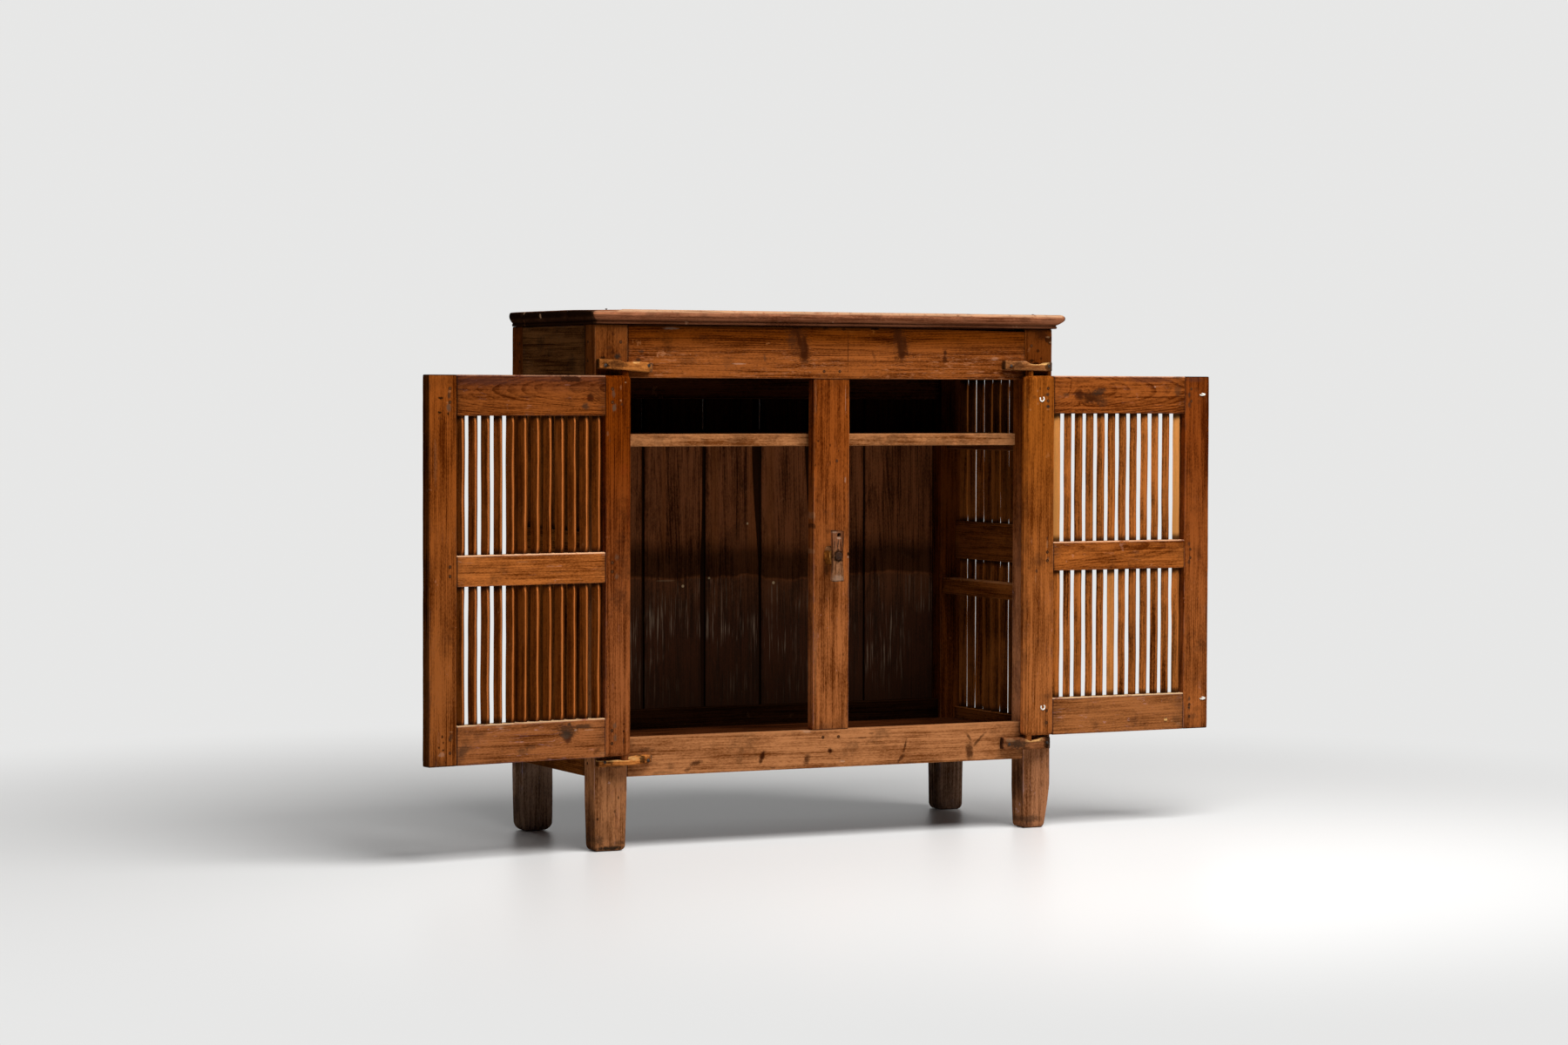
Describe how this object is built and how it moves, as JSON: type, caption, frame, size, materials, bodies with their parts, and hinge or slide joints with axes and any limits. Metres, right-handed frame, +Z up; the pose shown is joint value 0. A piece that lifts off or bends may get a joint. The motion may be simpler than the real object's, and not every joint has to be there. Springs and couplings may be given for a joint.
{
  "type": "wooden cabinet with barred doors",
  "caption": "Old free-standing pine cabinet on square legs, with grilles of square bars in its sides and in two pivoted doors held shut by a turn button.",
  "frame": {"origin": "on the floor, under the middle of the case", "axes": "+X to the right along the front as seen from the front, +Y to the back, +Z up"},
  "size_m": [1.6861, 0.4832, 1.0036],
  "materials": {
    "frame_pine": "aged pine, waxed, honey orange",
    "door_pine": "aged pine, waxed, honey orange",
    "bar_pine": "aged pine, waxed",
    "top_pine": "aged pine, waxed, worn edge",
    "inside_pine": "aged pine, dry and darker",
    "back_pine": "aged pine, scuffed",
    "golden_pine": "paler pine, polished by use",
    "button_pine": "worn pine",
    "peg_wood": "dark end grain",
    "iron_nails": "dark, aged",
    "white_wire": "white coating"
  },
  "bodies": {
    "carcass": {"back_board_nails": "iron_nails", "back_boards": "back_pine", "back_bottom_rail": "back_pine", "back_left_post": "frame_pine", "back_right_post": "frame_pine", "back_top_rail": "back_pine", "bottom_left_pivot_block": "golden_pine", "bottom_right_pivot_block": "golden_pine", "case_pegs": "peg_wood", "centre_mullion": "frame_pine", "floor_boards": "inside_pine", "floor_nails": "iron_nails", "front_bottom_rail": "frame_pine", "front_left_post": "frame_pine", "front_right_post": "frame_pine", "front_top_rail": "frame_pine", "left_floor_bearer": "inside_pine", "left_shelf_cleat": "inside_pine", "left_shelf_ledge": "inside_pine", "left_side_bottom_rail": "frame_pine", "left_side_lower_bars": "bar_pine", "left_side_mid_rail": "frame_pine", "left_side_top_rail": "frame_pine", "left_side_upper_bars": "bar_pine", "pivot_block_nails": "iron_nails", "right_floor_bearer": "inside_pine", "right_shelf_cleat": "inside_pine", "right_shelf_ledge": "inside_pine", "right_side_bottom_rail": "frame_pine", "right_side_lower_bars": "bar_pine", "right_side_mid_rail": "frame_pine", "right_side_top_rail": "frame_pine", "right_side_upper_bars": "bar_pine", "shelf_board": "inside_pine", "top_back_board": "top_pine", "top_front_board": "top_pine", "top_left_pivot_block": "golden_pine", "top_nails": "iron_nails", "top_right_pivot_block": "golden_pine", "turn_button_nail": "iron_nails", "turn_button_spacer": "button_pine"},
    "left_door": {"left_door_bottom_rail": "door_pine", "left_door_free_stile": "door_pine", "left_door_hinge_stile": "door_pine", "left_door_lower_bars": "bar_pine", "left_door_mid_rail": "door_pine", "left_door_pegs": "peg_wood", "left_door_top_rail": "door_pine", "left_door_upper_bars": "bar_pine"},
    "right_door": {"right_door_bottom_rail": "door_pine", "right_door_bottom_rail_plug": "peg_wood", "right_door_curtain_eyes": "white_wire", "right_door_free_stile": "door_pine", "right_door_hinge_stile": "door_pine", "right_door_lower_bars": "bar_pine", "right_door_mid_rail": "door_pine", "right_door_pegs": "peg_wood", "right_door_top_rail": "door_pine", "right_door_upper_bars": "bar_pine"},
    "turn_button": {"turn_button": "button_pine"}
  },
  "joints": [
    {"name": "left_door_hinge", "type": "hinge", "parent": "carcass", "child": "left_door", "pos_m": [-0.432, -0.21425, 0.53], "axis": [0, 0, 1], "range_deg": [-9.5, 172]},
    {"name": "right_door_hinge", "type": "hinge", "parent": "carcass", "child": "right_door", "pos_m": [0.427, -0.21425, 0.53], "axis": [0, 0, 1], "range_deg": [-181.5, 0.8]},
    {"name": "turn_button_pivot", "type": "hinge", "parent": "carcass", "child": "turn_button", "pos_m": [0, -0.23, 0.541], "axis": [0, 1, 0], "range_deg": [-90, 90]}
  ]
}
